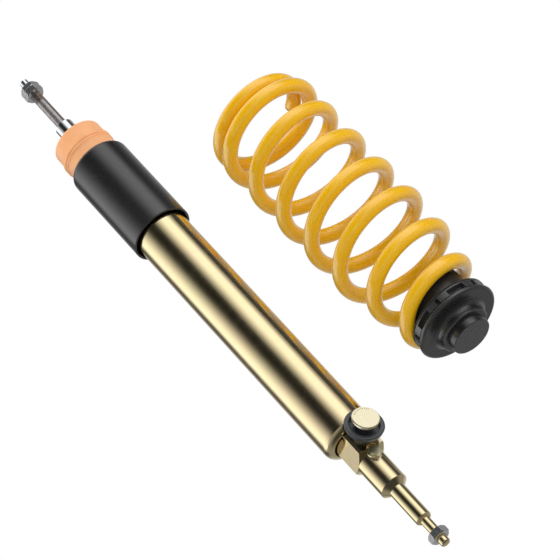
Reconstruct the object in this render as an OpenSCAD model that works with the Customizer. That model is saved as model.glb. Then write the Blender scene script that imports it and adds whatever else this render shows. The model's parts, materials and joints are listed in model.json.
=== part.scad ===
// Rear coilover set: adjustable damper with a separate coil spring and height adjuster.
// Z runs up along the damper, the origin is the shoulder of the lower pin, the knob faces -Y
// and the spring stands beside the damper at +X.

/* [Body tube] */
// Outside diameter of the body tube
tube_od = 50; // [49.5:0.1:50.5]
// Wall of the body tube
tube_wall = 2.3; // [2.1:0.1:2.4]
// Height of the rolled bottom edge of the tube
tube_low = 63; // [62.8:0.1:63.2]
// Height of the rolled top edge of the tube
tube_high = 368; // [366:0.5:368]
// Outer radius of the bottom roll
bottom_roll = 7; // [6.8:0.1:7.2]

/* [Piston rod] */
// Diameter of the chrome shaft
rod_d = 18; // [17.9:0.02:18]
// Height of the upper mounting shoulder
shoulder_z = 509; // [507:0.5:511]
// Height of the rod's top end
rod_tip_z = 577.5; // [576:0.5:579]
// Diameter of the upper and lower threaded stems
stem_d = 10; // [9.9:0.02:10]
// Pitch of the stem threads
stem_pitch = 1.25; // [1:0.05:1.5]
// Height where the stem's thread begins
stem_thread_z = 545; // [540:1:550]

/* [Bump stop and dust cover] */
// Top of the bump stop
bump_top = 485; // [484.5:0.5:487]
// Bottom of the bump stop
bump_low = 441; // [440.8:0.1:441.2]
// Radius of the bump stop's upper lobe
bump_r = 24.7; // [24.5:0.1:25]
// Outside diameter of the dust cover
cover_od = 58.5; // [58:0.1:60]
// Wall of the dust cover
cover_wall = 2; // [1.8:0.1:2.2]
// Open lower end of the dust cover
cover_low = 346; // [340:1:352]
// Top of the dust cover
cover_high = 450.5; // [450.2:0.1:450.8]
// Radius of the dust cover's rounded top
cover_round = 5; // [4.8:0.1:5.2]

/* [Base and lower mount] */
// Diameter of the shank below the base block
shank_d = 25.9; // [25.5:0.1:26]
// Diameter of the lower mounting pin
pin_d = 14.8; // [14:0.1:15]
// Length of the lower mounting pin
pin_len = 36.7; // [36:0.1:37.5]
// Length of the threaded stud below the pin
stud_len = 29.5; // [29:0.1:30.5]
// Radius of the base block
block_r = 16.5; // [16.2:0.1:16.6]
// Width of the base block across its flats
block_w = 26; // [26:0.1:26.6]
// Height of the base block's underside at the shank
block_low = 36.5; // [36:0.1:37]

/* [Adjuster knob] */
// Height of the knob's axis
knob_z = 52.7; // [52.2:0.1:53]
// Distance of the cap's face from the damper's axis
cap_face = 39.5; // [39.3:0.1:40.5]
// Radius of the cap
cap_r = 12; // [11.5:0.1:12.2]
// Largest radius of the knob's skirt
skirt_r = 17.4; // [17:0.1:17.6]

/* [Spring] */
// Distance from the damper's axis to the spring's axis
spring_x = 165.5; // [160:0.5:175]
// Wire diameter
wire_d = 14.6; // [14:0.1:14.7]
// Mean coil radius in the middle of the spring
coil_r = 50; // [49:0.1:51]
// Mean radius of the top end coil
coil_top_r = 42.9; // [42:0.1:44]
// Mean radius of the bottom end coil
coil_low_r = 38.1; // [37.9:0.1:39]
// Pitch of the open coils
coil_pitch = 43.1; // [42:0.1:44]
// Direction of the wire's top end around the spring's axis
coil_start = 9.8; // [0:0.1:20]

/* [Height adjuster] */
// Underside of the round flange
flange_low = 126; // [125.5:0.1:126]
// Thickness of the round flange
flange_t = 5; // [4.8:0.1:5.1]
// Radius of the round flange
flange_r = 41; // [40:0.1:41.5]
// Radius of the locating stub
stub_r = 19.5; // [19:0.1:20]
// Bottom face of the locating stub
stub_low = 107; // [106:0.1:108]
// Outer radius of the castellated ring
ring_r = 39.5; // [39:0.1:40]
// Number of wide pockets around the ring
pockets = 6; // [4:1:6]
// Pitch of the height thread
height_pitch = 2; // [1.5:0.1:2.2]

/* [Hidden] */
$fn = 96;
eps = 0.05;
run = 0.05;
tube_r = tube_od / 2;
tube_ri = tube_r - tube_wall;
rod_r = rod_d / 2;
stem_r = stem_d / 2;
bore_r = stem_r + run;
thread_depth = 0.55;
work_r = 16.05;
work_ro = 18;
lip_r = 20;
lip_t = 1.8;
lip_bevel = 1.5;
fit = 0.1;
cover_r = cover_od / 2;
cover_ri = cover_r - cover_wall;
lip_angle = 84;
guide_low = 336;
guide_high = 352;
seal_high = 360;
wiper_r = rod_r + 4.1;
wiper_high = seal_high + 4.5;
guide_spigot = 6;
stop_high = guide_low - guide_spigot - 0.4;
drain_r = 1.2;
drain_circle = 20;
bushing_t = 1;
work_low = 92;
valve_low = work_low - 4;
valve_high = 102;
valve_foot_r = 20;
valve_foot_ri = 12;
port_circle = 8.5;
port_r = 1.5;
port_slot = 4;
bolt_r = 3;
bolt_head = valve_high + 1.5;
shim_t = 0.6;
piston_seat = 317;
piston_low = 297;
piston_high = piston_seat - 3 * shim_t;
piston_r = 15.6;
band_groove_r = 14.2;
band_groove = [piston_low + 4, piston_high - 4.2];
band_slack = 0.15;
neck_low = 283;
spindle_r = 1.6;
head_r = 2.5;
head_z = 566;
top_nut_low = 556.5;
lock_nut_low = 563.2;
lock_nut_high = 568;
needle_r = 1.6;
needle_low = 285;
spindle_low = 302;
shank_r = shank_d / 2;
cone_h = 4.7;
pin_r = pin_d / 2;
stud_low = -pin_len - stud_len;
stud_neck_r = 4.5;
stud_round = 1.8;
bottom_nut_low = -59;
bottom_nut_high = -52.2;
facet_turn = 28;
pin_bevel = 1.2;
tip_bevel = 0.6;
tip_r = 4.1;
stem_thread_high = 569;
shoulder_bevel = 1.6;
spigot_low = tube_low + bottom_roll + 2.5;
spigot_high = 84;
nose_y = 16.3;
nose_top = tube_low - 0.4;
oil_r = 3;
cross_r = 6;
cross_in = 5;
meter_r = 2.5;
flange_hr = 7;
housing_face = nose_y + 2.4;
seal_t = 1.3;
seal_in = 9;
skirt_low = 19.5;
skirt_under = tube_r + 0.4;
skirt_top = 31.5;
recess_r = 13.2;
cap_t = 4;
plug_z = 35.3;
plug_af = 9.5;
plug_r = 6.4;
spot_r = 7.2;
spot_face = 12.4;
wire_r = wire_d / 2;
wire_gap = 0.1;
closed_pitch = wire_d + 0.4;
near_pitch = 40.6;
turns_a = 1.417;
blend_a = 0.72;
turns_b = 6.42;
blend_b = 0.35;
turns_c = 7.62;
blend_c = 0.12;
turns_all = 8.05;
taper_top = 1.16;
taper_low = 2.17;
taper_end = 7.63;
wire_sides = 16;
steps_turn = 30;
flange_high = flange_low + flange_t;
ring_low = flange_high + 0.5;
ring_high = 138.4;
slip_high = 139.3;
seat_high = 140.4;
post_r = 25;
post_high = 166;
post_land = post_high - 3;
post_wall = 5;
clip_r = post_r - 1.8;
clip_low = post_high - 2.4;
nub_turn = -35;
step_z = 115;
hub_r = 24;
flare_r = 6.5;
flare_z = flange_low - flare_r;
seat_r = 39.6;
seat_ri = 27.5;
collar_r = 30.3;
collar_high = 168;
pocket_w = 17.6;
pocket_r = 34;
pocket_high = ring_high - 1.2;
pocket_turn = -97;
slot_w = 3.8;
slot_deep = 3.2;

// ---- shared shapes ----

// Points of an arc in the plane of a revolved outline
function arc(cx, cz, r, from, to, steps = 8) =
    [for (i = [0:steps]) let (a = from + (to - from) * i / steps) [cx + r * cos(a), cz + r * sin(a)]];

// Smooth step from 0 to 1
function ease(x) = let (c = min(max(x, 0), 1)) c * c * (3 - 2 * c);

module disc(r, low, high) {
    translate([0, 0, low]) cylinder(r = r, h = high - low);
}

module ring(outer, inner, low, high) {
    difference() {
        disc(outer, low, high);
        disc(inner, low - 1, high + 1);
    }
}

module hexagon(flats, low, high) {
    translate([0, 0, low]) cylinder(d = flats / cos(30), h = high - low, $fn = 6);
}

// A shaft with ring-shaped thread grooves
module threaded(r, low, high, pitch, depth) {
    count = floor((high - low) / pitch);
    rotate_extrude() polygon(concat([[0, low], [r - depth, low]],
        [for (i = [0:count - 1], k = [0:2])
            [k == 1 ? r : (k == 0 ? r - depth : r), low + (i + [0.15, 0.4, 0.6][k]) * pitch]],
        [[r - depth, high], [0, high]]));
}

// Thin plates of falling radius stacked from start: upwards for a positive step, downwards for a negative one
module shim_stack(radii, start, step, bore) {
    thick = abs(step);
    color("lightgray") difference() {
        for (i = [0:len(radii) - 1]) {
            low = start + i * step - (step < 0 ? thick : 0);
            disc(radii[i], low, low + thick);
        }
        disc(bore, start - 4 * thick, start + 4 * thick);
    }
}

// A hexagon nut whose outer corners are chamfered at both ends
module hex_nut(flats, low, high, bore) {
    corner = flats / 2 / cos(30);
    cut = corner - flats / 2;
    difference() {
        intersection() {
            hexagon(flats, low, high);
            rotate_extrude() polygon([[0, low], [flats / 2, low], [corner, low + cut * 0.7],
                [corner, high - cut * 0.7], [flats / 2, high], [0, high]]);
        }
        disc(bore, low - 1, high + 1);
    }
}

// Turns a shape built along +Z so that it points along -Y at the knob's height
module at_knob() {
    translate([0, 0, knob_z]) rotate([90, 0, 0]) children();
}

// The same at the bleed plug's height
module at_plug() {
    translate([0, 0, plug_z]) rotate([90, 0, 0]) children();
}

// Moves a shape to the spring's axis
module at_spring() {
    translate([spring_x, 0, 0]) children();
}

// ---- body of the damper ----

module body_tube() {
    color("gold") rotate_extrude() polygon(concat(
        arc(tube_r - bottom_roll, tube_low + bottom_roll, bottom_roll, -90, 0),
        [[tube_r, tube_high - lip_bevel], [tube_r - lip_bevel, tube_high], [lip_r, tube_high],
            [lip_r, tube_high - lip_t], [tube_ri, tube_high - lip_t]],
        arc(tube_r - bottom_roll, tube_low + bottom_roll, bottom_roll - tube_wall, 0, -90)));
}

module closing_ring() {
    color("silver") ring(tube_ri, wiper_r, seal_high, tube_high - lip_t);
}

module rod_wiper() {
    color("dimgray") rotate_extrude() polygon([[rod_r + run, seal_high + 3.6], [rod_r + run, seal_high + 2.8],
        [rod_r + 1.5, seal_high], [wiper_r, seal_high], [wiper_r, wiper_high], [rod_r + 1.2, wiper_high]]);
}

module oil_seal() {
    color("dimgray") rotate_extrude() polygon([[rod_r + run, guide_high + 4.2],
        [rod_r + run, guide_high + 3.6], [rod_r + 1.6, guide_high], [tube_ri, guide_high],
        [tube_ri, seal_high], [rod_r + 1.6, seal_high]]);
}

module rod_guide() {
    color("silver") difference() {
        union() {
            disc(tube_ri, guide_low, guide_high);
            disc(work_r - fit, guide_low - guide_spigot, guide_low + 1);
        }
        disc(rod_r + bushing_t, guide_low - guide_spigot - 1, guide_high + 1);
        for (i = [0:3])
            rotate(i * 90 + 45) translate([drain_circle, 0, 0]) disc(drain_r, guide_low - 1, guide_high + 1);
    }
}

module guide_bushing() {
    color("peru") ring(rod_r + bushing_t, rod_r + run, guide_low - 2, guide_high - 1);
}

module working_tube() {
    color("silver") ring(work_ro, work_r, work_low, guide_low);
}

module foot_valve() {
    color("gray") difference() {
        union() {
            disc(work_r - fit, work_low - 1, valve_high);
            disc(work_ro, valve_low, work_low);
            disc(valve_foot_r, spigot_high, valve_low + eps);
        }
        disc(valve_foot_ri, spigot_high - 1, valve_low);
        disc(bolt_r + run, spigot_high, valve_high + 1);
        for (i = [0:5])
            rotate(i * 60) translate([port_circle, 0, 0]) disc(port_r, spigot_high, valve_high + 1);
        for (i = [0:3]) rotate(i * 90) translate([valve_foot_ri - 2, -port_slot / 2, spigot_high - 1])
            cube([valve_foot_r, port_slot, 3.5]);
    }
}

module foot_valve_shims() {
    shim_stack([12, 10, 7], valve_high, 0.5, bolt_r + run);
}

module foot_valve_bolt() {
    color("gray") union() {
        disc(bolt_r, valve_low - 1.4, bolt_head + 0.5);
        hexagon(9, bolt_head, bolt_head + 3.5);
        hexagon(8, valve_low - 3, valve_low);
    }
}

// Forged base: spigot in the tube, block with flats, shank, pin and threaded stud
module base_block() {
    color("goldenrod") difference() {
        union() {
            rotate_extrude() polygon([[0, spigot_high], [tube_ri - fit, spigot_high],
                [tube_ri - fit, spigot_low], [block_r - 1, tube_low + bottom_roll - 3],
                [nose_y - fit, tube_low - 1], [0, tube_low - 1]]);
            block_body();
            disc(shank_r, cone_h, tube_low);
            cylinder(r1 = pin_r, r2 = shank_r, h = cone_h);
            disc(pin_r, pin_bevel - pin_len, eps);
            translate([0, 0, -pin_len]) cylinder(r1 = pin_r - 1, r2 = pin_r, h = pin_bevel);
            disc(stud_neck_r, stud_low + stud_round, eps - pin_len);
            threaded(stem_r, bottom_nut_low, bottom_nut_high, stem_pitch, thread_depth);
            rotate_extrude() polygon(concat([[0, stud_low + stud_round + 1]],
                [for (i = [0:5]) [stud_neck_r - stud_round + stud_round * cos(18 * i),
                    stud_low + stud_round - stud_round * sin(18 * i)]], [[0, stud_low]]));
        }
        disc(oil_r, plug_z - 3, spigot_high + 1);
        at_knob() disc(cross_r, cross_in, nose_y + 4);
        at_knob() disc(meter_r + run, -oil_r - 1, cross_in + 1);
        at_plug() disc(spot_r, spot_face, nose_y + 4);
        at_plug() disc(oil_r, 0, spot_face + 1);
    }
}

// The block: a round bar with two flats and a squared nose, with a shallow cone underneath
module block_body() {
    half = block_w / 2;
    cone_rise = 4.2;
    cone_r = 22;
    corner_cut = 2.8;
    edge_cut = 3.2;
    intersection() {
        union() {
            disc(block_r, block_low, tube_low);
            difference() {
                translate([-half, -nose_y, block_low]) cube([block_w, nose_y, nose_top - block_low]);
                for (side = [-1, 1])
                    translate([side * half, -nose_y, block_low - 1]) rotate(45)
                        translate([-corner_cut / 2, -corner_cut / 2, 0]) cube([corner_cut, corner_cut, 30]);
                translate([-half - 1, -nose_y, nose_top]) rotate([45, 0, 0])
                    translate([0, -edge_cut / 2, -edge_cut / 2]) cube([block_w + 2, edge_cut, edge_cut]);
            }
        }
        translate([-half, -nose_y, block_low - 1])
            cube([block_w, nose_y + cone_r, tube_low - block_low + 2]);
        rotate_extrude() polygon([[0, block_low], [shank_r, block_low], [cone_r, block_low + cone_rise],
            [cone_r, tube_low + 1], [0, tube_low + 1]]);
    }
}

// ---- compression adjuster, built along +Z and turned to -Y ----

module adjuster_housing() {
    color("gray") at_knob() difference() {
        union() {
            disc(cross_r - run, cross_in + 0.2, nose_y + 1);
            disc(flange_hr, nose_y, housing_face);
        }
        disc(meter_r + run, 0, nose_y + 4);
        ring(cross_r + 1, cross_r - seal_t, seal_in, seal_in + 2);
    }
}

module housing_seal() {
    color("black") at_knob() ring(cross_r - run, cross_r - seal_t, seal_in + 0.1, seal_in + 1.9);
}

module detent_washer() {
    color("silver") at_knob() ring(flange_hr - 0.3, meter_r + 0.6, housing_face, housing_face + 0.5);
}

module metering_needle() {
    color("gold") at_knob() union() {
        disc(meter_r, 2.2, 5.9);
        translate([0, 0, -1.6]) cylinder(r1 = 0.6, r2 = meter_r, h = 3.8 + eps);
    }
}

module knob_spindle() {
    color("gold") at_knob() disc(meter_r, 7.2, skirt_low + 7.5);
}

// Hub and broad ring, with a deep recess around the cap
module knob_skirt() {
    low_round = 1.6;
    top_round = 1.2;
    edge = skirt_r - 0.8 - low_round;
    top = cap_face - cap_t;
    floor_z = skirt_under + 1.4;
    post = 8.2;
    color("black") at_knob() rotate_extrude() polygon(concat(
        [[meter_r, skirt_low], [flange_hr - 0.7, skirt_low], [flange_hr, skirt_low + 0.7],
            [flange_hr, skirt_under]],
        arc(edge, skirt_under + low_round, low_round, -90, 0, 5),
        arc(skirt_r - top_round, skirt_top - top_round, top_round, 0, 90, 6),
        arc(recess_r + 0.8, skirt_top - 0.8, 0.8, 90, 180, 4),
        [[recess_r, floor_z], [post, floor_z], [post, top], [meter_r, top]]));
}

module knob_cap() {
    low = cap_face - cap_t;
    color("khaki") at_knob() rotate_extrude() polygon([[0, low], [cap_r - 1.2, low], [cap_r - 0.5, low + 0.5],
        [cap_r - 0.5, low + 1.5], [cap_r, low + 1.9], [cap_r, cap_face - 0.6], [cap_r - 0.6, cap_face],
        [0, cap_face]]);
}

// Hexagon head on a round flange, with a plain shank in the block's cross hole
module bleed_plug() {
    face = spot_face + 0.05;
    high = face + 1.6;
    color("palegoldenrod") at_plug() union() {
        disc(oil_r - run, 5.5, face + 1);
        rotate_extrude() polygon([[0, face], [plug_r, face], [plug_r, face + 1.1],
            [plug_r - 0.5, high], [0, high]]);
        rotate(15) hex_nut(plug_af, high - 0.1, high + 2.4, 0.4);
        disc(0.5, face + 1, high + 1.8);
    }
}

module bottom_nut() {
    color("silver") rotate(facet_turn) hex_nut(16, bottom_nut_low, bottom_nut_high, bore_r);
}

// ---- rod group ----

module piston_rod() {
    color("silver") difference() {
        union() {
            disc(rod_r, piston_seat, shoulder_z - shoulder_bevel);
            translate([0, 0, shoulder_z - shoulder_bevel])
                cylinder(r1 = rod_r, r2 = rod_r - shoulder_bevel, h = shoulder_bevel);
            disc(stem_r, shoulder_z - eps, stem_thread_z);
            threaded(stem_r, stem_thread_z, stem_thread_high, stem_pitch, thread_depth);
            disc(tip_r, stem_thread_high - eps, rod_tip_z - tip_bevel);
            translate([0, 0, rod_tip_z - tip_bevel])
                cylinder(r1 = tip_r, r2 = tip_r - tip_bevel, h = tip_bevel);
            disc(stem_r, neck_low, piston_seat + eps);
        }
        disc(spindle_r + run, neck_low - 1, rod_tip_z + 1);
        disc(head_r + run, head_z, rod_tip_z + 1);
        for (i = [0:1]) rotate(i * 90)
            translate([0, 0, neck_low + 3]) rotate([0, 90, 0]) disc(1, -stem_r - 1, stem_r + 1);
    }
}

module top_nut() {
    color("silver") rotate(facet_turn) hex_nut(17, top_nut_low, lock_nut_low, bore_r);
}

module lock_nut() {
    color("silver") rotate(facet_turn) hex_nut(17, lock_nut_low, lock_nut_high, bore_r);
}

// Foam spring: plain upper lobe, double bead, neck for the cover's lip and a hidden lower lobe
module bump_stop() {
    lobe = 3;
    lobe_r = 23;
    neck_r = 24;
    bead_r = 26.2;
    bead_high = 469.4;
    groove = 464.4;
    corner = 1.6;
    color("sandybrown") rotate_extrude() polygon(concat(
        [[rod_r, bump_low], [lobe_r - 3, bump_low]],
        arc(lobe_r, bump_low + lobe + 0.5, lobe, -70, 60, 7),
        [[neck_r, cover_high - 2.4], [neck_r, cover_high + 2.5]],
        [for (i = [0:6]) [neck_r + 1.8 * (1 - cos(15 * i)), cover_high + 2.5 + 9 * sin(15 * i)]],
        [[bead_r - 0.2, groove - 1.2], [bead_r - 1.4, groove], [bead_r - 0.1, groove + 0.9]],
        arc(bead_r - 1, bead_high - 1, 1, 0, 90, 5),
        [[bump_r, bead_high]],
        arc(bump_r - corner, bump_top - corner, corner, 0, 80, 6),
        [[rod_r, bump_top + 1]]));
}

module dust_cover() {
    mid_r = cover_r - cover_round;
    mid_z = cover_high - cover_round;
    color("black") rotate_extrude() polygon(concat(
        [[cover_ri, cover_low + 0.6], [cover_ri + 0.6, cover_low], [cover_r - 0.6, cover_low],
            [cover_r, cover_low + 0.6]],
        arc(mid_r, mid_z, cover_round, 0, lip_angle),
        arc(mid_r, mid_z, cover_round - cover_wall, lip_angle, 0)));
}

module rebound_stop() {
    color("white") ring(13.5, rod_r, stop_high - 7, stop_high);
}

module compression_shims() {
    shim_stack([13, 11, 9], piston_high, shim_t, stem_r);
}

module piston() {
    color("gray") difference() {
        disc(piston_r, piston_low, piston_high);
        ring(work_ro, band_groove_r, band_groove[0], band_groove[1]);
        disc(stem_r, piston_low - 1, piston_high + 1);
        for (i = [0:7]) rotate(i * 45) translate([9.5, 0, 0]) disc(port_r, piston_low - 1, piston_high + 1);
    }
}

module piston_band() {
    color("peru") difference() {
        ring(work_r - 0.07, band_groove_r + 0.08, band_groove[0] + band_slack, band_groove[1] - band_slack);
        translate([10, -0.5, piston_low]) cube([10, 1, piston_high - piston_low]);
    }
}

module rebound_shims() {
    shim_stack([13, 11, 9], piston_low, -shim_t, stem_r);
}

module piston_nut() {
    color("gray") hex_nut(17, neck_low + 3.2, piston_low - 3 * shim_t, stem_r);
}

module rebound_spindle() {
    color("gold") difference() {
        union() {
            disc(spindle_r, spindle_low, head_z + 1);
            disc(head_r, head_z + 0.1, rod_tip_z - 0.8);
        }
        hexagon(3, rod_tip_z - 5, rod_tip_z);
    }
}

module rebound_needle() {
    color("gold") union() {
        disc(needle_r, needle_low + 4, spindle_low - 1);
        translate([0, 0, needle_low]) cylinder(r1 = 0.4, r2 = needle_r, h = 4 + eps);
    }
}

// ---- spring ----

// Pitch per turn at u turns from the top end
function pitch_at(u) = (closed_pitch
    + (coil_pitch - closed_pitch) * ease((u - turns_a + blend_a) / 2 / blend_a)
    + (near_pitch - coil_pitch) * ease((u - turns_b + blend_b) / 2 / blend_b))
    * (1 - ease((u - turns_c + blend_c) / 2 / blend_c));

// Mean radius at u turns from the top end
function radius_at(u) = coil_r + (coil_low_r - coil_r) * ease((u - taper_end + taper_low) / taper_low)
    + (coil_top_r - coil_r) * (1 - ease(u / taper_top));

// Height of the wire's centre, added up step by step
function heights(n, z, i = 0) = i > n ? [] :
    concat([z], heights(n, z - pitch_at((i + 0.5) * turns_all / n) * turns_all / n, i + 1));

module coil_spring() {
    n = round(turns_all * steps_turn);
    drop = heights(n, 0);
    base = seat_high + wire_gap + wire_r - drop[n];
    rings = [for (i = [0:n]) let (u = turns_all * i / n, a = coil_start - 360 * u, r = radius_at(u),
        slope = atan(pitch_at(u) / (2 * PI * r)))
        [for (k = [0:wire_sides - 1])
            let (b = 360 * k / wire_sides, out = wire_r * cos(b), up = wire_r * sin(b))
            [(r + out) * cos(a) + up * sin(slope) * sin(a), (r + out) * sin(a) - up * sin(slope) * cos(a),
                base + drop[i] + up * cos(slope)]]];
    points = [for (one = rings) for (p = one) p];
    sides = [for (i = [0:n - 1], k = [0:wire_sides - 1]) let (m = (k + 1) % wire_sides)
        [i * wire_sides + k, i * wire_sides + m, (i + 1) * wire_sides + m, (i + 1) * wire_sides + k]];
    ends = [[for (k = [wire_sides - 1:-1:0]) k], [for (k = [0:wire_sides - 1]) n * wire_sides + k]];
    color("goldenrod") at_spring() polyhedron(points, concat(sides, ends), convexity = 10);
}

// ---- height adjuster ----

// Stub, stepped hub with two nubs, round flange and threaded post, turned in one piece
module adjuster_base() {
    color("dimgray") at_spring() difference() {
        union() {
            rotate_extrude() polygon(concat(
                [[0, stub_low], [stub_r - 0.6, stub_low], [stub_r, stub_low + 0.6], [stub_r, step_z],
                    [hub_r - 0.6, step_z + 0.6], [hub_r, step_z + 1.4], [hub_r, flare_z - 0.5]],
                [for (i = [0:6]) [hub_r + flare_r - flare_r * cos(15 * i), flare_z + flare_r * sin(15 * i)]],
                arc(flange_r - 2.5, flange_low + 2.5, 2.5, -90, 90, 8),
                [[0, flange_high]]));
            for (side = [0, 180]) rotate(side + nub_turn)
                translate([hub_r, 0, flare_z + 0.3]) sphere(r = 2.6);
            disc(post_r - 1, flange_high - 1, post_high);
            threaded(post_r, flange_high + 0.6, post_land, height_pitch, 0.8);
            disc(post_r - 0.2, post_land, post_high);
        }
        disc(post_r - post_wall, flange_low + 2, post_high + 1);
        ring(post_r + 1, clip_r, clip_low, clip_low + 1.4);
    }
}

// Threaded ring with a thin upper rim, wide pockets below it and a narrow spanner slot in each land
module adjusting_ring() {
    step = 360 / pockets;
    color("dimgray") at_spring() difference() {
        ring(ring_r, post_r + run, ring_low, ring_high);
        for (i = [0:pockets - 1]) {
            rotate(pocket_turn + i * step) translate([pocket_r, -pocket_w / 2, ring_low - 1])
                cube([10, pocket_w, pocket_high - ring_low + 1]);
            rotate(pocket_turn + (i + 0.5) * step) translate([ring_r - slot_deep, -slot_w / 2, ring_low - 1])
                cube([10, slot_w, pocket_high - ring_low + 1]);
        }
    }
}

module slip_ring() {
    color("white") at_spring() ring(36, seat_ri + 0.5, ring_high, slip_high);
}

module spring_seat() {
    color("black") at_spring() rotate_extrude() polygon(concat(
        [[seat_ri, slip_high], [seat_r - 0.6, slip_high], [seat_r, slip_high + 0.6], [seat_r, seat_high - 0.5],
            [seat_r - 0.5, seat_high], [collar_r, seat_high], [collar_r, collar_high - 3]],
        arc(collar_r - 2, collar_high - 2, 2, 0, 90, 4),
        [[seat_ri, collar_high]]));
}

module retaining_ring() {
    color("silver") at_spring() difference() {
        ring(post_r + 0.9, clip_r + 0.05, clip_low + 0.1, clip_low + 1.3);
        translate([post_r - 6, -2, clip_low - 1]) cube([12, 4, 4]);
    }
}

body_tube();
closing_ring();
rod_wiper();
oil_seal();
rod_guide();
guide_bushing();
working_tube();
foot_valve();
foot_valve_shims();
foot_valve_bolt();
base_block();
adjuster_housing();
housing_seal();
detent_washer();
metering_needle();
knob_spindle();
knob_skirt();
knob_cap();
bleed_plug();
bottom_nut();
piston_rod();
top_nut();
lock_nut();
bump_stop();
dust_cover();
rebound_stop();
compression_shims();
piston();
piston_band();
rebound_shims();
piston_nut();
rebound_spindle();
rebound_needle();
coil_spring();
adjuster_base();
adjusting_ring();
slip_ring();
spring_seat();
retaining_ring();
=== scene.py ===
import json
import math

import bpy
import numpy as np
from mathutils import Matrix, Vector


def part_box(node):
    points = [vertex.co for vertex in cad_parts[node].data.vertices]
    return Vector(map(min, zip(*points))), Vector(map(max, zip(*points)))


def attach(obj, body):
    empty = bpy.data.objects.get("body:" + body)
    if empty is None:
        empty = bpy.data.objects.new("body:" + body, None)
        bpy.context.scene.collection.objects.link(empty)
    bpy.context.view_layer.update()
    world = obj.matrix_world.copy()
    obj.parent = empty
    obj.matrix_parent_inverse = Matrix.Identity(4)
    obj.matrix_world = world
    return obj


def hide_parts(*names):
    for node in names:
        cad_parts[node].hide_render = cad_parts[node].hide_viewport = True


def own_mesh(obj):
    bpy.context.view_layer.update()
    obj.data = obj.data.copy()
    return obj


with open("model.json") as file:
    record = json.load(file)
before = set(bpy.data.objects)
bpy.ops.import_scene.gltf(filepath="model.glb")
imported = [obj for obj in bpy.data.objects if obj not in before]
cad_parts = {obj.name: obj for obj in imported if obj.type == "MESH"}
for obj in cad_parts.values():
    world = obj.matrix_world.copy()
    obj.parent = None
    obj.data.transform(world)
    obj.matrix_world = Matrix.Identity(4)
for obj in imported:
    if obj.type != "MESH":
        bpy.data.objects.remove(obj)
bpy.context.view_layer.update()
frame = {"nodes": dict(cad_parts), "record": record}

# Rear coilover set: finishes, the smooth coil spring, studio and camera. Lengths are in metres.

MM = 0.001


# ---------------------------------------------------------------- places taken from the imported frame

def centre(node):
    """The middle of a node's box."""
    low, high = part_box(node)
    return (low + high) / 2


def high_z(node):
    """The height of a node's top."""
    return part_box(node)[1].z


def mount(name):
    """One of the record's mounts, by name."""
    return next(m for m in frame["record"]["mounts"] if m["name"] == name)


SPRING_AXIS = centre("spring_seat")
SHOULDER_Z = mount("upper_shoulder")["pos_m"][2]
KNOB = centre("knob_cap")


# ---------------------------------------------------------------- node helpers

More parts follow.
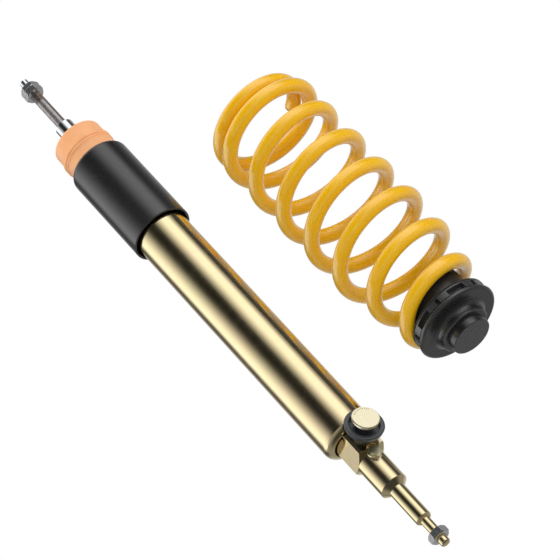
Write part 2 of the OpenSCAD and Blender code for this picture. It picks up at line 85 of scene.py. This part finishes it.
class Finish:
    """A procedural material: one Principled shader, with short calls for the nodes that feed it."""

    def __init__(self, name, color, metallic=0.0, roughness=0.4, **fixed):
        self.material = bpy.data.materials.new(name)
        self.material.use_nodes = True
        self.nodes = self.material.node_tree.nodes
        self.links = self.material.node_tree.links
        self.shader = self.nodes["Principled BSDF"]
        self.set("Base Color", (*color, 1.0))
        self.set("Metallic", metallic)
        self.set("Roughness", roughness)
        for socket, value in fixed.items():
            self.set(socket.replace("_", " "), value)
        self.place = self.nodes.new("ShaderNodeTexCoord").outputs["Object"]
        self.bumps = None

    def set(self, socket, value):
        self.shader.inputs[socket].default_value = value

    def feed(self, socket, value):
        if isinstance(value, (int, float)):
            socket.default_value = value
        elif isinstance(value, tuple):
            socket.default_value = value
        else:
            self.links.new(value, socket)

    def math(self, operation, a, b=0.0, c=0.0):
        node = self.nodes.new("ShaderNodeMath")
        node.operation = operation
        for socket, value in zip(node.inputs, (a, b, c)):
            self.feed(socket, value)
        return node.outputs[0]

    def shifted(self, point, scale=(1, 1, 1)):
        """Object coordinates counted from a point, stretched by scale."""
        node = self.nodes.new("ShaderNodeMapping")
        node.vector_type = "TEXTURE"
        self.links.new(self.place, node.inputs["Vector"])
        node.inputs["Location"].default_value = point
        node.inputs["Scale"].default_value = [1 / s for s in scale]
        return node.outputs["Vector"]

    def split(self, vector):
        node = self.nodes.new("ShaderNodeSeparateXYZ")
        self.links.new(vector, node.inputs[0])
        return node.outputs

    def joined(self, x, y, z):
        node = self.nodes.new("ShaderNodeCombineXYZ")
        for socket, value in zip(node.inputs, (x, y, z)):
            self.feed(socket, value)
        return node.outputs[0]

    def noise(self, scale, detail=2.0, vector=None, rough=0.5):
        node = self.nodes.new("ShaderNodeTexNoise")
        self.links.new(vector or self.place, node.inputs["Vector"])
        node.inputs["Scale"].default_value = scale
        node.inputs["Detail"].default_value = detail
        node.inputs["Roughness"].default_value = rough
        return node.outputs["Fac"]

    def cells(self, scale, vector=None):
        node = self.nodes.new("ShaderNodeTexVoronoi")
        self.links.new(vector or self.place, node.inputs["Vector"])
        node.inputs["Scale"].default_value = scale
        return node.outputs["Distance"]

    def span(self, value, low, high, to_low=0.0, to_high=1.0, smooth=False):
        """value mapped from low..high to to_low..to_high, and kept between them."""
        node = self.nodes.new("ShaderNodeMapRange")
        node.interpolation_type = "SMOOTHSTEP" if smooth else "LINEAR"
        for socket, number in zip(node.inputs, (value, low, high, to_low, to_high)):
            self.feed(socket, number)
        return node.outputs[0]

    def mix(self, amount, a, b):
        node = self.nodes.new("ShaderNodeMix")
        node.data_type = "RGBA"
        self.feed(node.inputs["Factor"], amount)
        self.feed(node.inputs[6], (*a, 1.0) if isinstance(a, tuple) else a)
        self.feed(node.inputs[7], (*b, 1.0) if isinstance(b, tuple) else b)
        return node.outputs[2]

    def color(self, value):
        self.links.new(value, self.shader.inputs["Base Color"])

    def roughness(self, value):
        self.links.new(value, self.shader.inputs["Roughness"])

    def bump(self, height, depth, strength=1.0):
        """Adds a relief: height runs from 0 to 1 and depth is in metres."""
        node = self.nodes.new("ShaderNodeBump")
        node.inputs["Strength"].default_value = strength
        node.inputs["Distance"].default_value = depth
        self.links.new(height, node.inputs["Height"])
        if self.bumps:
            self.links.new(self.bumps, node.inputs["Normal"])
        self.bumps = node.outputs["Normal"]
        self.links.new(self.bumps, self.shader.inputs["Normal"])

    def soften(self, radius):
        """Rounds the sharp edges in the light, by a small radius. Comes before any bump."""
        node = self.nodes.new("ShaderNodeBevel")
        node.samples = 6
        node.inputs["Radius"].default_value = radius
        self.bumps = node.outputs["Normal"]

    def edge_highlight_mask(self, low=0.51, high=0.56):
        """1 on sharp outer edges, 0 elsewhere: where the painted edge highlight goes."""
        shape = self.nodes.new("ShaderNodeNewGeometry")
        return self.span(shape.outputs["Pointiness"], low, high)


def turned_marks(finish, axis_point, pitch, depth):
    """Very fine lathe rings across a part turned about Z."""
    along = finish.split(finish.shifted(axis_point))[2]
    lines = finish.joined(0.0, 0.0, finish.math("MULTIPLY", along, 1 / pitch))
    finish.bump(finish.noise(1.0, 3.0, lines), depth, 0.6)


# ---------------------------------------------------------------- finishes

def gold_zinc():
    """Polished steel with yellow zinc: tints drift a little between straw, pink and green."""
    f = Finish("gold_zinc", (0.80, 0.69, 0.40), 1.0, 0.15)
    tint = f.span(f.noise(14.0, 2.0), 0.35, 0.65, smooth=True)
    warm = f.mix(tint, (0.87, 0.71, 0.43), (0.82, 0.71, 0.42))
    blush = f.span(f.noise(31.0, 1.0, f.shifted((0.3, 0.1, 0.2))), 0.55, 0.75, smooth=True)
    f.color(f.mix(f.math("MULTIPLY", blush, 0.35), warm, (0.88, 0.66, 0.46)))
    f.roughness(f.span(f.noise(160.0, 4.0), 0.3, 0.7, 0.12, 0.19))
    turned_marks(f, (0, 0, 0), 0.6 * MM, 0.004 * MM)
    return f.material


def rod_steel():
    """Chrome below the shoulder, dark rolled threads above it."""
    f = Finish("rod_steel", (0.80, 0.81, 0.83), 1.0, 0.08)
    x, y, z = f.split(f.place)
    stem = f.span(z, SHOULDER_Z - 0.05 * MM, SHOULDER_Z + 0.05 * MM)
    tip = f.span(z, high_z("lock_nut") + 0.4 * MM, high_z("lock_nut") + 0.6 * MM)
    dark = f.math("SUBTRACT", stem, tip)
    stain = f.noise(240.0, 3.0)
    thread_color = f.mix(f.span(stain, 0.35, 0.65), (0.36, 0.33, 0.32), (0.46, 0.44, 0.43))
    f.color(f.mix(dark, (0.80, 0.82, 0.84), thread_color))
    f.roughness(f.span(dark, 0, 1, 0.07, 0.30))
    thread_pitch = 1.25 * MM
    turns = f.math("FRACT", f.math("DIVIDE", z, thread_pitch))
    ridge = f.math("ABSOLUTE", f.math("SUBTRACT", turns, 0.5))
    f.bump(f.math("MULTIPLY", ridge, dark), 0.35 * MM, 0.7)
    f.bump(f.noise(900.0, 2.0), 0.002 * MM, 0.5)
    return f.material


def zinc():
    """Bright zinc plated fasteners."""
    f = Finish("zinc", (0.82, 0.83, 0.85), 1.0, 0.16)
    f.soften(0.35 * MM)
    f.color(f.mix(f.span(f.noise(300.0, 3.0), 0.3, 0.7), (0.76, 0.78, 0.82), (0.86, 0.86, 0.86)))
    f.roughness(f.span(f.noise(700.0, 3.0), 0.3, 0.7, 0.12, 0.24))
    f.bump(f.noise(1300.0, 2.0), 0.006 * MM, 0.6)
    return f.material


def machined_steel():
    """Plain machined steel for the inner parts."""
    f = Finish("machined_steel", (0.60, 0.60, 0.60), 1.0, 0.3)
    f.roughness(f.span(f.noise(400.0, 3.0), 0.3, 0.7, 0.24, 0.38))
    f.color(f.mix(f.noise(90.0, 2.0), (0.54, 0.54, 0.55), (0.66, 0.66, 0.65)))
    turned_marks(f, (0, 0, 0), 0.5 * MM, 0.01 * MM)
    return f.material


def warm_metal(name, light, dark, rough=0.22):
    """Turned brass or bronze."""
    f = Finish(name, light, 1.0, rough)
    f.color(f.mix(f.span(f.noise(220.0, 3.0), 0.3, 0.7), light, dark))
    f.roughness(f.span(f.noise(800.0, 3.0), 0.3, 0.7, rough - 0.05, rough + 0.06))
    f.bump(f.noise(1500.0, 2.0), 0.005 * MM, 0.5)
    return f.material


def cap_gold():
    """Pale gold anodised cap: satin face with turned rings and an arc of setting marks."""
    f = Finish("cap_gold", (0.93, 0.86, 0.62), 1.0, 0.27)
    x, y, z = f.split(f.shifted(tuple(KNOB)))
    radius = f.math("SQRT", f.math("ADD", f.math("MULTIPLY", x, x), f.math("MULTIPLY", z, z)))
    rings = f.joined(f.math("MULTIPLY", radius, 1 / (0.35 * MM)), 0.0, 0.0)
    angle = f.math("ARCTAN2", z, x)
    step = math.radians(9)
    turn = f.math("FRACT", f.math("DIVIDE", angle, step))
    tick = f.span(f.math("ABSOLUTE", f.math("SUBTRACT", turn, 0.5)), 0.13, 0.2, 1, 0)
    inner, outer, edge = 9.0 * MM, 10.5 * MM, 0.1 * MM
    band = f.math("MULTIPLY", f.span(radius, inner, inner + edge), f.span(radius, outer - edge, outer, 1, 0))
    arc = f.math("MULTIPLY", f.span(angle, 0.55, 0.6), f.span(angle, 2.35, 2.4, 1, 0))
    face = f.span(y, -1.95 * MM, -1.9 * MM, 1, 0)
    mark = f.math("MULTIPLY", f.math("MULTIPLY", tick, band), f.math("MULTIPLY", arc, face))
    grain = f.mix(f.span(f.noise(1.0, 3.0, rings), 0.3, 0.7), (0.92, 0.84, 0.59), (0.94, 0.87, 0.63))
    f.color(f.mix(mark, grain, (0.42, 0.33, 0.18)))
    f.roughness(f.span(f.noise(900.0, 3.0), 0.3, 0.7, 0.22, 0.32))
    f.bump(f.noise(1.0, 2.0, rings), 0.001 * MM, 0.3)
    f.bump(f.math("SUBTRACT", 1.0, mark), 0.05 * MM, 0.6)
    return f.material


def spring_paint():
    """Thick golden yellow powder coat, with a faint orange peel."""
    f = Finish("spring_paint", (0.83, 0.43, 0.015), 0.0, 0.25,
               Coat_Weight=1.0, Coat_Roughness=0.06, Coat_IOR=1.6)
    f.color(f.mix(f.span(f.noise(26.0, 2.0), 0.3, 0.7), (0.86, 0.46, 0.003), (0.90, 0.51, 0.004)))
    f.roughness(f.span(f.noise(500.0, 3.0), 0.3, 0.7, 0.20, 0.30))
    f.bump(f.noise(300.0, 1.0), 0.008 * MM, 0.2)
    return f.material


def cut_wire():
    """Same paint over the sawn wire end."""
    f = Finish("cut_wire", (0.62, 0.32, 0.02), 0.0, 0.45)
    f.color(f.mix(f.span(f.noise(900.0, 3.0), 0.3, 0.7), (0.50, 0.25, 0.012), (0.72, 0.38, 0.02)))
    f.bump(f.noise(1100.0, 3.0), 0.05 * MM, 0.6)
    return f.material


def foam():
    """Peach microcellular polyurethane: dull skin with tiny cells."""
    f = Finish("foam", (0.86, 0.42, 0.19), 0.0, 0.5, Subsurface_Weight=0.15, Subsurface_Scale=2 * MM,
               Sheen_Weight=0.15, Sheen_Roughness=0.4)
    f.color(f.mix(f.span(f.noise(70.0, 3.0), 0.3, 0.7), (0.84, 0.39, 0.17), (0.90, 0.46, 0.22)))
    f.roughness(f.span(f.noise(600.0, 3.0), 0.3, 0.7, 0.42, 0.58))
    f.bump(f.cells(1400.0), 0.04 * MM, 0.5)
    f.bump(f.noise(220.0, 3.0), 0.08 * MM, 0.4)
    return f.material


def black_satin(name, color, rough, grain, level=1.0):
    """Black plastic or anodised metal: satin sheen, fine grain and a painted highlight along the sharp
    edges.
    """
    f = Finish(name, color, 0.0, rough, Specular_IOR_Level=level)
    # Sharp edges are painted lighter than the body: a painted highlight along the rims.
    edge_highlight_color = tuple(min(1.0, c * 3 + 0.02) for c in color)
    f.color(f.mix(f.math("MULTIPLY", f.edge_highlight_mask(), 0.5), color, edge_highlight_color))
    f.roughness(f.span(f.noise(380.0, 3.0), 0.3, 0.7, rough - 0.04, rough + 0.06))
    f.bump(f.noise(grain, 2.0), 0.004 * MM, 0.3)
    return f.material


def plain_plastic(name, color, rough):
    """Seal rubber and low friction plastic."""
    f = Finish(name, color, 0.0, rough)
    dark = tuple(c * 0.8 for c in color)
    f.color(f.mix(f.noise(200.0, 3.0), dark, color))
    f.roughness(f.span(f.noise(600.0, 3.0), 0.3, 0.7, rough - 0.06, rough + 0.06))
    f.bump(f.noise(1200.0, 2.0), 0.01 * MM, 0.5)
    return f.material


FINISHES = {
    "gold_zinc": gold_zinc(),
    "rod_chrome": rod_steel(),
    "zinc": zinc(),
    "steel": machined_steel(),
    "bronze": warm_metal("bronze", (0.62, 0.42, 0.22), (0.52, 0.33, 0.16), 0.4),
    "brass": warm_metal("brass", (0.80, 0.64, 0.32), (0.70, 0.54, 0.25)),
    "plug_gold": warm_metal("plug_gold", (0.96, 0.92, 0.66), (0.90, 0.84, 0.56), 0.34),
    "gold_cap": cap_gold(),
    "black_knob": black_satin("black_knob", (0.022, 0.025, 0.028), 0.36, 1500.0, 0.9),
    "cover_black": black_satin("cover_black", (0.005, 0.005, 0.005), 0.22, 1300.0, 0.9),
    "adjuster_black": black_satin("adjuster_black", (0.012, 0.012, 0.012), 0.24, 900.0, 1.0),
    "seat_black": black_satin("seat_black", (0.012, 0.012, 0.012), 0.34, 1100.0, 0.7),
    "foam": foam(),
    "rubber": plain_plastic("rubber", (0.02, 0.02, 0.02), 0.55),
    "ptfe": plain_plastic("ptfe", (0.75, 0.74, 0.70), 0.45),
    "spring_yellow": spring_paint(),
}

for part in frame["record"]["subparts"]:
    finish = FINISHES[part["material_slot"]]
    mesh = frame["nodes"][part["node"]].data
    mesh.materials.clear()
    mesh.materials.append(finish)


# ---------------------------------------------------------------- coil spring

WIRE = 14.6 * MM
TURNS = 8.05
STEPS_PER_TURN = 72
SIDES = 28
START_ANGLE = math.radians(9.8)
# Each change along the wire: the turn it starts at, counted from the top, and the turns it takes
OPENS = (0.697, 1.44)
CLOSES = (6.07, 0.7)
SETTLES = (7.5, 0.24)
WIDENS = (0.0, 1.16)
NARROWS = (5.46, 2.17)
TOP_Z = high_z("coil_spring") - WIRE / 2


def ease(x):
    """0 below 0, 1 above 1, and a smooth change between them."""
    c = np.clip(x, 0, 1)
    return c * c * (3 - 2 * c)


def change(u, span):
    """How far a change has gone at u turns, where span says when it starts and how long it takes."""
    start, length = span
    return ease((u - start) / length)


def pitch_at(u):
    """Rise per turn at u turns from the top: closed, open, a little closer, then flat on the seat."""
    closed, wide, near = 15.0 * MM, 43.1 * MM, 40.6 * MM
    p = closed + (wide - closed) * change(u, OPENS)
    p = p + (near - wide) * change(u, CLOSES)
    return p * (1 - change(u, SETTLES))


def radius_at(u):
    """Radius of the wire's path at u turns from the top: narrower at both ends."""
    middle, top, bottom = 50 * MM, 42.9 * MM, 38.1 * MM
    return middle + (bottom - middle) * change(u, NARROWS) + (top - middle) * (1 - change(u, WIDENS))


def tube_mesh(name, path, radii, sides):
    """A closed round tube along path, with the ring sizes in radii and a flat cap at both ends."""
    ahead = np.gradient(path, axis=0)
    ahead /= np.linalg.norm(ahead, axis=1)[:, None]
    out = path - np.array([SPRING_AXIS.x, SPRING_AXIS.y, 0])
    out[:, 2] = 0
    out -= ahead * np.sum(out * ahead, axis=1)[:, None]
    out /= np.linalg.norm(out, axis=1)[:, None]
    side = np.cross(ahead, out)
    turn = np.linspace(0, 2 * math.pi, sides, endpoint=False)
    ring = np.cos(turn)[None, :, None] * out[:, None] + np.sin(turn)[None, :, None] * side[:, None]
    points = (path[:, None] + ring * np.asarray(radii)[:, None, None]).reshape(-1, 3)
    count = len(path)
    faces = []
    for i in range(count - 1):
        for k in range(sides):
            m = (k + 1) % sides
            faces.append((i * sides + k, (i + 1) * sides + k, (i + 1) * sides + m, i * sides + m))
    faces.append(tuple(range(sides)))
    faces.append(tuple((count - 1) * sides + k for k in reversed(range(sides))))
    mesh = bpy.data.meshes.new(name)
    mesh.from_pydata(points.tolist(), [], faces)
    mesh.validate()
    mesh.polygons.foreach_set("use_smooth", [len(f.vertices) == 4 for f in mesh.polygons])
    piece = bpy.data.objects.new(name, mesh)
    bpy.context.scene.collection.objects.link(piece)
    return piece


def coil_spring():
    """The smooth spring in place of the faceted one. It stands on the seat and is parented to the spring
    carrier.
    """
    count = round(TURNS * STEPS_PER_TURN)
    u = np.linspace(0, TURNS, count + 1)
    half = (u[1:] + u[:-1]) / 2
    z = TOP_Z - np.r_[0, np.cumsum(pitch_at(half)) * TURNS / count]
    angle = START_ANGLE - 2 * math.pi * u
    r = radius_at(u)
    path = np.c_[SPRING_AXIS.x + r * np.cos(angle), SPRING_AXIS.y + r * np.sin(angle), z]
    radii = np.full(count + 1, WIRE / 2)
    radii[[0, -1]] = WIRE / 2 - 0.6 * MM
    spring = tube_mesh("coil_spring_wire", path, radii, SIDES)
    spring.data.materials.append(FINISHES["spring_yellow"])
    spring.data.materials.append(cut_wire())
    for face in spring.data.polygons:
        if len(face.vertices) > 4:
            face.material_index = 1
    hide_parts("coil_spring")
    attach(spring, "spring_carrier")
    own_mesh(spring)


coil_spring()


# ---------------------------------------------------------------- studio

FLOOR_Z = -1.7
WORLD_STRENGTH = 1.5
CEILING = 0.6
CEILING_FROM, CEILING_TO = 0.72, 0.95
# Below the horizon the room darkens in two steps: where each begins and ends as the height of the
# direction looked in, and its brightness.
GROUND = [(-0.15, -0.42, 0.30), (-0.60, -0.90, 0.05)]
# The walls carry three soft boxes. Each has a brightness and four compass directions, in degrees about Z:
# where it begins, is full from, is full to and ends.
GAP = 0.02
BOXES = {
    "front": (1.35, -124, -77, -63, -37),
    "side": (1.40, 115, 130, 138, 212),
    "back wall": (0.66, -38, 50, 60, 112),
}
WALL_STEP = 12


def wall_level(degrees):
    """Brightness of the wall in one direction: the gap's own, and what each soft box adds."""
    level = GAP
    for bright, begins, full_from, full_to, ends in BOXES.values():
        for turn in (degrees - 360, degrees, degrees + 360):
            rising = ease((turn - begins) / (full_from - begins))
            falling = ease((ends - turn) / (ends - full_to))
            level += bright * float(rising * falling)
    return level


def studio_world():
    """A grey room for light and reflections, plain white where the camera sees it."""
    world = bpy.data.worlds.new("studio")
    bpy.context.scene.world = world
    world.use_nodes = True
    nodes, links = world.node_tree.nodes, world.node_tree.links
    nodes.clear()
    place = nodes.new("ShaderNodeTexCoord").outputs["Generated"]
    around = nodes.new("ShaderNodeTexGradient")
    around.gradient_type = "RADIAL"
    links.new(place, around.inputs["Vector"])
    ramp = nodes.new("ShaderNodeValToRGB")
    ramp.color_ramp.interpolation = "LINEAR"
    stops = ramp.color_ramp.elements

    def blend(from_min, from_max, low, high):
        """low below from_min, high above from_max, and a soft change between them."""
        reach = nodes.new("ShaderNodeMapRange")
        reach.interpolation_type = "SMOOTHSTEP"
        reach.inputs["From Min"].default_value = from_min
        reach.inputs["From Max"].default_value = from_max
        links.new(height.outputs["Z"], reach.inputs["Value"])
        node = nodes.new("ShaderNodeMix")
        node.data_type = "RGBA"
        links.new(reach.outputs[0], node.inputs["Factor"])
        for socket, value in ((node.inputs[6], low), (node.inputs[7], high)):
            if isinstance(value, float):
                socket.default_value = (value, value, value, 1.0)
            else:
                links.new(value, socket)
        return node.outputs[2]

    directions = range(-180, 181, WALL_STEP)
    while len(stops) < len(directions):
        stops.new(0.5)
    for stop, degrees in zip(stops, directions):
        stop.position = degrees / 360 + 0.5
        stop.color = (wall_level(degrees) / WORLD_STRENGTH,) * 3 + (1.0,)
    links.new(around.outputs["Fac"], ramp.inputs["Fac"])
    height = nodes.new("ShaderNodeSeparateXYZ")
    links.new(place, height.inputs[0])
    shade = blend(CEILING_FROM, CEILING_TO, ramp.outputs["Color"], CEILING)
    for begins, ends, level in GROUND:
        shade = blend(ends, begins, level / WORLD_STRENGTH, shade)
    walls = nodes.new("ShaderNodeBackground")
    walls.inputs["Strength"].default_value = WORLD_STRENGTH
    links.new(shade, walls.inputs["Color"])
    white = nodes.new("ShaderNodeBackground")
    white.inputs["Strength"].default_value = 1.0
    white.inputs["Color"].default_value = (1, 1, 1, 1)
    seen = nodes.new("ShaderNodeLightPath")
    choice = nodes.new("ShaderNodeMixShader")
    links.new(seen.outputs["Is Camera Ray"], choice.inputs["Fac"])
    links.new(walls.outputs[0], choice.inputs[1])
    links.new(white.outputs[0], choice.inputs[2])
    output = nodes.new("ShaderNodeOutputWorld")
    links.new(choice.outputs[0], output.inputs["Surface"])


def soft_light(name, position, target, size, power):
    """A square soft light that lights the surfaces but isn't mirrored in them."""
    data = bpy.data.lights.new(name, "AREA")
    data.shape = "SQUARE"
    data.size = size
    data.energy = power
    lamp = bpy.data.objects.new(name, data)
    bpy.context.scene.collection.objects.link(lamp)
    lamp.location = position
    lamp.rotation_euler = (Vector(target) - Vector(position)).to_track_quat("-Z", "Y").to_euler()
    lamp.visible_glossy = False


def floor():
    """A pale floor far below, which lights from beneath but isn't mirrored."""
    bpy.ops.mesh.primitive_plane_add(size=16, location=(0.1, 0, FLOOR_Z))
    plane = bpy.context.object
    plane.name = "studio_floor"
    f = Finish("studio_floor", (0.86, 0.86, 0.86), 0.0, 0.8)
    f.color(f.mix(f.noise(3.0, 2.0), (0.84, 0.84, 0.84), (0.88, 0.88, 0.88)))
    plane.data.materials.append(f.material)
    plane.visible_glossy = False


studio_world()
floor()
LIT_POINT = (0.08, 0, 0.25)
soft_light("key", (-1.0, -0.2, 1.6), LIT_POINT, 0.9, 14)
soft_light("fill", (-0.6, -1.6, -0.6), LIT_POINT, 1.2, 12)
soft_light("right", (1.5, -0.9, 0.6), LIT_POINT, 0.9, 12)


# ---------------------------------------------------------------- camera

def camera():
    """The viewpoint lies low in front of the knob, and the picture's upright leans along the damper."""
    right = Vector((0.8047, -0.1147, -0.5825))
    back = Vector((-0.4805, -0.7019, -0.5257))
    right.normalize()
    up = back.cross(right).normalized()
    back = right.cross(up)
    data = bpy.data.cameras.new("camera")
    data.sensor_width = 36.0
    data.lens = 184.5
    data.clip_start = 0.1
    data.clip_end = 60.0
    eye = bpy.data.objects.new("camera", data)
    bpy.context.scene.collection.objects.link(eye)
    eye.matrix_world = Matrix((
        (right.x, up.x, back.x, -1.1584),
        (right.y, up.y, back.y, -1.7773),
        (right.z, up.z, back.z, -1.0835),
        (0, 0, 0, 1)))
    bpy.context.scene.camera = eye


camera()
bpy.context.scene.view_settings.view_transform = "Standard"
